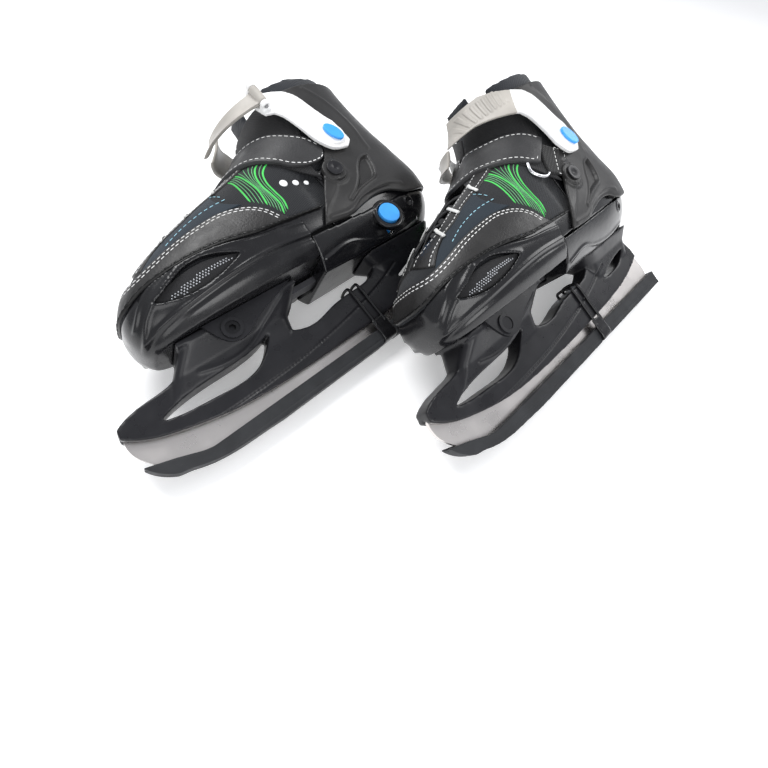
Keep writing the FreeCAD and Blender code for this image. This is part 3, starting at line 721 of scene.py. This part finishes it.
def shape_toe_shell(points, normals):
    x, y, z = points.T
    outer = outer_face(points, normals, 2.2)
    rim = off_curve(x, z, VENT)[0]
    swell = 0.9 * np.exp(-((z - 77.0) / 5.0) ** 2) * smooth(44.0 - x, 0.0, 30.0)
    raised = (line(x, z, BELLY_RIDGE, 0.9, 1.2) + line(x, z, [(a, b - 3.0) for a, b in BELLY_RIDGE], -0.6, 1.5)
              + line(x, z, UPPER_RIDGE, 0.8, 1.1) + line(x, z, NOSE_RIDGE, 0.8, 1.2)
              + 0.6 * np.exp(-(rim / 1.8) ** 2))
    moved = push(points, normals, outer * (raised + swell))
    grown = z + (shell_top(x) - 101.0) * smooth(z, 94.0, 101.0) * (x > -71.6)
    change = np.clip(skin_y(x, grown) - skin_y(x, z), -2.0, 2.0)
    moved[:, 2] += grown - z
    moved[:, 1] += np.sign(y) * change * smooth(np.abs(y), 2.0, 12.0)
    return moved


def shape_heel_shell(points, normals):
    x, _, z = points.T
    outer = outer_face(points, normals, 4.5)
    eyelet = np.hypot(x + 168.0, z - 76.0)
    raised = (-1.3 * np.exp(-(eyelet / 1.7) ** 2) + 0.6 * np.exp(-((eyelet - 3.4) / 0.9) ** 2)
              + line(x, z, ((-76, 66), (-100, 68.5), (-118, 64), (-140, 61.5), (-170, 64)), 0.7, 1.2))
    return push(points, normals, outer * raised)


TEARDROP = ((-158, 122), (-151, 121), (-143, 115), (-135, 105.5), (-126, 98), (-116, 92.5),
            (-127, 97.5), (-139, 100.5), (-149, 103), (-155, 112), (-158, 122))


def shape_cuff(points, normals):
    x, _, z = points.T
    outer = outer_face(points, normals, 0.6)
    edge = off_curve(x, z, TEARDROP)[0]
    hollow = np.where(inside(x, z, curve(TEARDROP, 120)), smooth(edge, 0.0, 1.6), 0.0)
    eye = np.hypot(x - ANKLE[0], z - ANKLE[1])
    raised = (-1.9 * hollow + 0.9 * np.exp(-((edge - 0.6) / 1.1) ** 2) * (hollow < 0.05)
              + 0.9 * np.exp(-((eye - 10.5) / 1.4) ** 2)
              + line(x, z, ((-86, 88), (-98, 96), (-110, 104), (-126, 128)), 0.5, 1.6)
              + line(x, z, ((-168, 90), (-150, 94.5), (-130, 91.5), (-112, 87), (-92, 87)), 0.6, 1.4)
              + line(x, z, ((-166, 128), (-168, 150), (-162, 175), (-150, 194)), 0.6, 1.8))
    moved = push(points, normals, outer * raised)
    low = np.array(((-215, 85), (-164, 84), (-154, 88.5), (-144, 89.5), (-125, 86.5), (-111, 83),
                    (-97, 83), (-80, 84)))
    lifted = (hermite(x, low[:, 0], low[:, 1]) - 84.0) * smooth(94.0 - z, 0.0, 9.0)
    moved[:, 2] += lifted
    return moved


def shape_rivet(points, normals):
    x, y, z = points.T
    eye = np.hypot(x - ANKLE[0], z - ANKLE[1])
    outward = smooth(normals[:, 1] * np.sign(y), 0.5, 0.9)
    return push(points, normals, -1.0 * np.exp(-(eye / 2.6) ** 2) * outward)


def ease_button(points, _):
    """Leaves the button a little room in its bore."""
    centre = np.array((BUTTON[0], 0.0, BUTTON[1]))
    return centre + (points - centre) * (0.96, 1.0, 0.96)


def shell_tail(skate, side, name):
    """Strip of the toe shell that runs back under the quarter."""
    low = side_curve(((-71, 83), (-84, 83.5), (-97, 84)), side, 30)
    high = side_curve(((-70, 97.3), (-84, 97), (-96, 96.6)), side, 30)
    panel(skate, "shell_tail_" + name, low, high, -1.4, 1.2, "shell", "toe", "shell_plastic", (), 20, 10)


def button_bezel(skate):
    """Ring round the size button."""
    profile = ((8.9, 31), (8.9, 35), (9.3, 35.3), (12, 35.3), (12.5, 34.8), (12.5, 31))
    points = [(BUTTON[0] + r * np.cos(turn), y, BUTTON[1] + r * np.sin(turn))
              for turn in np.linspace(0.0, 2.0 * pi, 61)[:-1] for r, y in profile]
    faces = grid_faces(61, len(profile), closed=True)
    faces = [tuple(i % len(points) for i in face) for face in faces]
    skate.mesh("button_bezel", np.array(points), faces, "heel", "skate", "shell_plastic")


BUCKLE_RISE, BUCKLE_RISE_BELOW = 16.0, 4.0
CAP_TURN = radians(49.0)


def lift_front(points, _, rise=BUCKLE_RISE):
    """Carries the front of the buckle parts up, clear of the instep strap; the rivet stays."""
    x, _, z = points.T
    away = smooth(np.hypot(x - BUCKLE[0], z - BUCKLE[1]), 10.0, 28.0)
    moved = points.copy()
    moved[:, 2] += rise * away * smooth(x, BUCKLE[0] - 13.0, BUCKLE[0] + 3.0)
    return moved


def whiten_root(skate, strap):
    """The ladder strap's root is the same white as the arm."""
    strap.data.materials.append(MATERIALS["arm"])
    centres = skate.local([tuple(face.center) for face in strap.data.polygons])
    white = centres[:, 0] + 0.6 * (centres[:, 2] - 185.0) < -112.0
    strap.data.polygons.foreach_set("material_index", white.astype(np.int32))


def lift_little(points, normals):
    """The same for the lever side that lies against the other skate."""
    return lift_front(points, normals, BUCKLE_RISE_BELOW)


def turn_cap(points, _):
    """Leans the oval caps forward about the buckle rivet."""
    x, z = points[:, 0] - BUCKLE[0], points[:, 2] - BUCKLE[1]
    moved = points.copy()
    moved[:, 0] = BUCKLE[0] + x * np.cos(CAP_TURN) + z * np.sin(CAP_TURN)
    moved[:, 2] = BUCKLE[1] - x * np.sin(CAP_TURN) + z * np.cos(CAP_TURN)
    return moved


def shape_ladder(points, normals):
    x, _, z = points.T
    outer = outer_face(points, normals, -7.6)
    teeth = 0.75 * smooth(np.sin(2.0 * pi * (x + 0.35 * z) / 3.6), -0.35, 0.35)
    region = smooth(x, -112.0, -108.0) * smooth(-70.0 - x, 0.0, 3.0)
    middle = smooth(8.0 - np.abs(z - 179.0), 0.0, 1.5)
    return lift_front(push(points, normals, outer * teeth * region * middle), normals)


def vent(skate, side, name):
    """Backing cloth and its silver dots inside the toe shell's vent."""
    low = side_curve(((-25.5, 91.3), (-13, 86.6), (-2, 84.2), (11, 84.4), (22, 87.1), (31.5, 91.3)), side, 60)
    high = side_curve(((-25.5, 91.7), (-14, 96), (-5, 98.6), (8, 99), (20, 96.6), (31.5, 91.7)), side, 60)
    nodes = ("toe_vent_mesh",) if side > 0 else ()
    panel(skate, "vent_back_" + name, low, high, -2.9, 0.6, "vent_back", "toe", "vent_mesh", nodes, 50, 10)
    x, z = np.meshgrid(np.arange(-24.0, 31.0, 1.9), np.arange(85.0, 98.6, 1.55))
    x = x + (np.arange(x.shape[0]) % 2)[:, None] * 0.95
    x, z = x.ravel(), z.ravel()
    keep = inside(x, z, curve(VENT_MESH, 100)) & (off_curve(x, z, VENT)[0] > 0.7)
    spot, normal = skin(angle(x[keep], z[keep], side), z[keep], -2.25)
    points, faces = [], []
    for centre, up in zip(spot, normal):
        along = np.cross(up, (0.0, 0.0, 1.0))
        along /= np.linalg.norm(along)
        other = np.cross(up, along)
        start = len(points)
        for radius, rise in ((0.62, 0), (0.5, 0.3)):
            for k in range(6):
                turn = 2.0 * pi * k / 6
                points.append(centre + (along * np.cos(turn) + other * np.sin(turn)) * radius + up * rise)
        points.append(centre + up * 0.4)
        faces += grid_faces(2, 6, start, closed=True)
        faces += [(start + 6 + k, start + 6 + (k + 1) % 6, start + 12) for k in range(6)]
    skate.mesh("vent_dots_" + name, np.array(points), faces, "vent", "toe", "vent_mesh")


# ---------------------------------------------------------------- boot


def boot_sock(skate):
    """Cloth boot under the shells, open at the throat and at the top."""
    rows, columns = 58, 181
    z = np.linspace(84.0, 160.0, rows)
    throat = pi - 0.30 * smooth(z, 127.0, 133.0) - 0.10 * smooth(z, 133.0, 160.0)
    a = throat[:, None] * np.linspace(-1.0, 1.0, columns)[None, :]
    top = 126.0 + 34.0 * smooth(np.abs(a[-1]), 1.0, 1.6)
    heights = 84.0 + (z[:, None] - 84.0) * (top - 84.0)[None, :] / 76.0
    x = bare_skin(a, heights)[..., 0]
    above = smooth(heights - shell_top(np.clip(x, -99.0, 49.0)), -2.0, -0.6)
    front = smooth(x, -96.0, -86.0)
    outside = -4.4 + 4.1 * above * front + 2.7 * smooth(heights, 122.0, 128.0) * (1.0 - front)
    outer, _ = skin(a, heights, outside)
    inner, _ = skin(a, heights, outside - 1.0 - 2.2 * smooth(130.0 - heights, 0.0, 6.0) * front)
    points = np.concatenate([outer, inner[::-1]]).reshape(-1, 3)
    faces = [tuple(reversed(face)) for face in grid_faces(2 * rows, columns)]
    for i in range(rows - 1):
        if throat[i] < pi - 0.02:
            j = 2 * rows - 1 - i
            faces.append((i * columns, (i + 1) * columns, (j - 1) * columns, j * columns))
            faces.append((j * columns + columns - 1, (j - 1) * columns + columns - 1,
                          (i + 1) * columns + columns - 1, i * columns + columns - 1))
    for k in range(columns - 1):
        last = (2 * rows - 1) * columns
        faces.append((k, k + 1, last + k + 1, last + k))
    skate.mesh("boot_sock", points, faces, "quarter", "stretch", "upper_fabric", ("boot_upper", "toe_upper"))


def wrap(rows_outer, middle, steps=120):
    """Path of angle and height from the outer side, over the front at the middle heights, to the inner side."""
    outer = [(angle(x, z, OUTER), z) for x, z in rows_outer]
    inner = [(2.0 * pi - a, z) for a, z in reversed(outer)]
    return round_curve(outer + [(pi, middle)] + inner, steps)


TOE_EDGE = ((-61, 102), (-56, 110.5), (-48, 117.5), (-40, 121), (-30, 123), (-15, 122), (2, 119),
            (16, 115), (26, 112.5))
TOE_FOOT = ((-66, 97.6), (-55, 98.2), (-42, 98.9), (-30, 101), (-20, 102.9), (3, 104.9), (18, 104.4),
            (30, 103), (40, 100.2))


def inset(points, amount):
    """The path moved to its right-hand side."""
    points = np.array(points, float)
    along = np.gradient(points, axis=0)
    along /= np.linalg.norm(along, axis=1, keepdims=True)
    return points + np.stack([along[:, 1], -along[:, 0]], 1) * amount


def toe_cap(skate):
    low, high = wrap(TOE_FOOT, 98.8), wrap(TOE_EDGE, 113.0)
    panel(skate, "toe_cap", low, high, -0.35, 1.5, "toe_leather", "toe", "vamp_leather", steps=150, across=14)
    for name, drop in (("a", 1.6), ("b", 3.6)):
        row = wrap(inset(TOE_EDGE, drop), 113.0 - drop)
        dashes(skate, "toe_stitch_" + name, [row], 1.2, "thread", "toe", "vamp_leather", 2.4, 1.3, 0.62)
    welt = wrap([(-92, 96.5), (-79, 97)] + [(x, z - 0.2) for x, z in TOE_FOOT], 98.4, 170)
    raised_lines(skate, "toe_welt", [welt], 0.1, 2.3, 1.5, "welt", "toe", "shell_plastic")
    dashes(skate, "toe_welt_blocks", [welt], 1.55, "welt", "toe", "shell_plastic", 5.0, 1.1, 1.5)


SWEEPS = (((-55, 151), (-53, 136), (-51.5, 120.5)),
          ((-62, 154), (-61, 139), (-61.5, 124), (-59, 113)),
          ((-80, 150), (-70, 142), (-66, 128), (-67.5, 113), (-64, 102)),
          ((-88, 146), (-76, 141), (-70, 128), (-71, 114), (-68.5, 104)))


def vamp(skate, side, name):
    """Navy panel, leather eyestay, printed lines and stitching on one side."""
    low = side_curve(((-46, 121.5), (-33, 122), (-15, 121), (2, 118), (16, 114), (27, 111.5)), side, 80)
    high = side_curve(((-45, 147), (-34, 142), (-20, 137), (-2, 130), (12, 122.5)), side, 80)
    panel(skate, "navy_" + name, low, high, -0.3, 0.7, "navy", "toe", "upper_fabric", steps=60, across=20)
    low = side_curve(((-72, 153.5), (-61, 149.4), (-43, 143.4), (-25, 138), (-11, 132), (5, 126.7),
                      (16, 120.5), (24, 114.5)), side, 80)
    rise = np.linspace(5.5, 8.0, len(low))
    limit = np.interp(low[:, 1] + rise, (120.0, 127.0, 133.0, 160.0), (pi, pi, pi - 0.30, pi - 0.40))
    edge = np.stack([limit if side > 0 else 2.0 * pi - limit, low[:, 1] + rise], 1)
    panel(skate, "eyestay_" + name, low, edge, -0.25, 1.3, "toe_leather", "toe", "vamp_leather", (), 70, 8)
    for row, share in (("", 0.16), ("_top", 0.8)):
        dashes(skate, "eyestay_stitch" + row + "_" + name, [low + (edge - low) * share], 1.05, "thread", "toe",
               "vamp_leather", 2.2, 1.3, 0.6)
    blue = [side_curve(points, side, 60) for points in (
        ((-37, 144), (-39, 138), (-41, 132.5)),
        ((-41, 131), (-27, 131), (-10, 127.5), (8, 120)))]
    dashes(skate, "blue_stitch_" + name, blue, 0.42, "blue_thread", "toe", "upper_fabric", 2.6, 1.5, 0.6)
    bold = [curve(points, 7) for points in SWEEPS]
    green = [side_curve(points, side, 46) for points in bold]
    fine = [side_curve(a + (b - a) * t, side, 46) for a, b, count in zip(bold, bold[1:], (3, 4, 1))
            for t in np.linspace(0.0, 1.0, count + 2)[1:-1]]
    raised_lines(skate, "green_lines_" + name, green, -0.32, 1.3, 0.28, "green", "stretch", "upper_fabric")
    raised_lines(skate, "fine_lines_" + name, fine, -0.32, 0.5, 0.24, "pale_green", "stretch", "upper_fabric")


def ankle_wrap(skate, side, name):
    """Smooth black cloth above the quarter, under strap and cuff."""
    low = side_curve(((-45, 147.5), (-57, 152), (-68, 152), (-79, 145), (-89, 134.5), (-99, 125),
                      (-110.0, 117.0)), side, 90)
    high = side_curve(((-58, 160.5), (-74, 171), (-86, 181), (-94, 190.5), (-106, 197), (-126, 199)), side, 90)
    panel(skate, "ankle_wrap_" + name, low, high, -0.5, 1.0, "lining", "flex", "upper_fabric", steps=60,
          across=26, crown=-0.3)
    row = low + (high - low) * 0.035
    dashes(skate, "wrap_stitch_" + name, [row], 0.35, "welt", "skate", "upper_fabric", 1.8, 1.4, 0.5)


def instep_strap(skate):
    """Strap from the outer ankle over the instep to the chrome ring on the inner side."""
    outer_low = [(-123.5, 136), (-118, 130), (-107, 128.5), (-96, 131), (-85, 139), (-70, 151), (-58, 155)]
    outer_high = [(-124.5, 139), (-120, 149), (-108, 160), (-98, 169), (-86, 173.5), (-77, 173.5), (-68, 170)]
    inner_low = [(-60, 154.5), (-70, 150), (-80, 145), (-90, 139), (-97, 136)]
    inner_high = [(-70, 171), (-88, 171), (-104, 165), (-113, 157), (-117, 152)]
    low, high = (round_curve([(angle(x, z, OUTER), z) for x, z in outer] + [(pi, top)]
                             + [(angle(x, z, INNER), z) for x, z in inner], 160)
                 for outer, top, inner in ((outer_low, 154.5, inner_low), (outer_high, 169.0, inner_high)))
    panel(skate, "instep_strap", low, high, 0.9, 2.3, "strap_leather", "skate", "strap_leather",
          ("instep_strap",), 160, 16, crown=0.5)
    rows = [low + (high - low) * 0.09, low + (high - low) * 0.91]
    k = 4
    end = np.array([rows[0][k] * (1.0 - t) + rows[1][k] * t for t in np.linspace(0.0, 1.0, 30)])
    tail = np.array([rows[0][-k] * (1.0 - t) + rows[1][-k] * t for t in np.linspace(0.0, 1.0, 30)])
    dashes(skate, "strap_stitch", [rows[0][k:-k], rows[1][k:-k], end, tail], 3.35, "thread", "skate",
           "strap_leather", 2.7, 1.5, 0.7)


def ring_and_anchor(skate):
    """Chrome ring under the strap's end, held by webbing stitched down under the cuff's edge."""
    low = side_curve(((-98.5, 127), (-110, 121), (-119, 115)), INNER, 40)
    high = side_curve(((-111, 149), (-122, 142), (-132, 136)), INNER, 40)
    panel(skate, "ring_webbing", low, high, 0.9, 1.6, "webbing", "skate", "anchor_webbing", ("ring_anchor",),
          30, 12)
    corners = ((-121, 142), (-131, 136.5), (-117, 117.5), (-108, 123))
    pairs = ((0, 1), (3, 2), (0, 3), (1, 2))
    box = [side_curve((corners[a], corners[b]), INNER, 20) for a, b in pairs]
    dashes(skate, "anchor_stitch", box, 2.6, "thread", "skate", "anchor_webbing", 2.2, 1.3, 0.7)
    oval = side_curve(((-97, 147), (-86, 139.5), (-83.5, 133.5), (-88.5, 128), (-96.5, 125.8), (-105, 132),
                       (-110, 143), (-106, 149), (-97, 147)), INNER, 90)
    path, normal = skin(oval[:, 0], oval[:, 1], 0.9)
    tube(skate, "ring_oval", [(path, normal)], 1.35, "chrome", "skate", "ring_chrome", ("strap_ring",))


def lacing(skate):
    """Flat laces over the tongue, through white loops beside the throat."""
    strands, loops = [], []
    stations = [(-3, 131), (-17, 137), (-31, 143), (-44, 148)]
    for (x0, z0), (x1, z1) in zip(stations, stations[1:]):
        for flip in (1.0, -1.0):
            middle = ((x0 + x1) / 2, 0.0, (z0 + z1) / 2 + 2.6 + 0.7 * flip)
            path = curve(((x0, 15.5 * flip, z0 - 1.6), (x0 - 2.0, 9.0 * flip, z0 + 0.9), middle,
                          (x1 + 2.0, -9.0 * flip, z1 + 0.9), (x1, -15.5 * flip, z1 - 1.6)), 40)
            strands.append((path, np.tile((0.4, 0.0, 0.9), (40, 1))))
    for x, z in ((-45, 147.5), (-22, 141), (-1, 132.5)):
        for side in (OUTER, INNER):
            row = side_curve(((x + 4.5, z - 6.0), (x + 1.5, z - 1.5), (x - 2.0, z + 1.5)), side, 24)
            loops.append(skin(row[:, 0], row[:, 1], 1.8))
    tube(skate, "laces", strands, 2.1, "lace", "toe", "lace_cord", ("laces",), flat=0.4)
    tube(skate, "lace_loops", loops, 1.3, "loop", "toe", "lace_cord", flat=0.5)


def mark(skate):
    """Three plain dots printed on the quarter."""
    points, faces = [], []
    turn = np.linspace(0.0, 2.0 * pi, 25)[:-1]
    for x, z, radius in ((-80.0, 124.0, 2.8), (-88.0, 121.0, 2.3), (-95.0, 118.0, 1.8)):
        start = len(points)
        for scale, out in ((1, -0.3), (0.9, 0)):
            rim_x, rim_z = x + radius * scale * np.cos(turn), z + radius * scale * np.sin(turn)
            points += list(skin(angle(rim_x, rim_z, OUTER), rim_z, out)[0])
        points.append(skin(angle(x, z, OUTER), z, 0.02)[0])
        faces += grid_faces(2, 24, start, closed=True)
        faces += [(start + 24 + k, start + 24 + (k + 1) % 24, start + 48) for k in range(24)]
    skate.mesh("quarter_dots", np.array(points), faces, "print_white", "stretch", "upper_fabric")


def padded(skate, node, material, body, slot, voxel, cap, shrink=0.8):
    """The CAD pad, puffed by a short cloth simulation and capped."""
    piece = skate.eased_copy(node, "_pad", voxel, 4)
    points, normals = vertices(piece.data)
    start = points - normals * shrink * MM
    set_points(piece.data, start)
    cloth = piece.modifiers.new("cloth", "CLOTH")
    cloth.settings.use_pressure = True
    cloth.settings.uniform_pressure_force = 4.0
    cloth.settings.effector_weights.gravity = 0.0
    scene = bpy.context.scene
    for number in range(1, 21):
        scene.frame_set(number)
    bake(piece)
    scene.frame_set(1)
    puffed, _ = vertices(piece.data)
    change = puffed - start
    size = np.linalg.norm(change, axis=1, keepdims=True)
    change *= np.minimum(1.0, cap * MM / np.maximum(size, 1e-9))
    set_points(piece.data, start + change)
    soften = piece.modifiers.new("soften", "SUBSURF")
    soften.levels = soften.render_levels = 1
    bake(piece)
    skate.dress(piece, material, body, node, slot)


# ---------------------------------------------------------------- both skates

KEPT = {"bolt_lugs": "holder", "holder_bolt": "bolt", "blade": "steel", "blade_screws": "bolt", "size_rack": "rack",
        "button_spring": "spring"}


def build(skate):
    skate.moulded("blade_holder", "holder", "skate", "holder_plastic", 0.75, 12, shape_holder)
    skate.moulded("blade_guard", "guard", "skate", "guard_rubber", 0.6, 5, shape_guard)
    guard_tie(skate)
    skate.moulded("toe_shell", "shell", "toe", "shell_plastic", 0.75, 5, shape_toe_shell)
    skate.moulded("heel_shell", "heel", "skate", "shell_plastic", 0.8, 6, shape_heel_shell)
    skate.moulded("cuff", "cuff", "cuff", "cuff_plastic", 0.75, 6, shape_cuff)
    lift = lift_front if skate.side == "left" else lift_little
    skate.moulded("buckle_arm", "arm", "arm", "arm_white", 0.5, 14, lift)
    strap = skate.moulded("ladder_strap", "ladder", "ladder", "ladder_plastic", 0.5, 14, shape_ladder)
    whiten_root(skate, strap)
    skate.moulded("buckle_lever", "ladder", "lever", "lever_plastic", 0.5, 8, lift)
    skate.moulded("lever_pin", "rivet", "arm", "rivet_steel", 0.3, 2, lift)
    skate.moulded("size_button", "blue", "button", "button_blue", 0.4, 6, ease_button)
    skate.moulded("pivot_caps", "blue", "cuff", "cap_blue", 0.3, 6, turn_cap)
    for side, name in ((OUTER, "outer"), (INNER, "inner")):
        vent(skate, side, name)
        shell_tail(skate, side, name)
        vamp(skate, side, name)
        ankle_wrap(skate, side, name)
    skate.moulded("cuff_rivets", "holder", "skate", "rivet_steel", 0.35, 5, shape_rivet)
    button_bezel(skate)
    boot_sock(skate)
    toe_cap(skate)
    instep_strap(skate)
    ring_and_anchor(skate)
    lacing(skate)
    mark(skate)
    padded(skate, "collar_padding", "collar", "cuff", "collar_fabric", 2.2, 1.4)
    padded(skate, "tongue", "tongue", "skate", "tongue_fabric", 2.4, 1.6)
    padded(skate, "footbed", "foam", "skate", "footbed_foam", 1.6, 0.6, 0.3)
    for node, material in KEPT.items():
        piece = NODES[skate.side + "_" + node]
        for i in range(max(1, len(piece.material_slots))):
            if not piece.material_slots:
                piece.data.materials.append(None)
            piece.material_slots[i].material = MATERIALS[material]


for name in ("left", "right"):
    build(Skate(name))
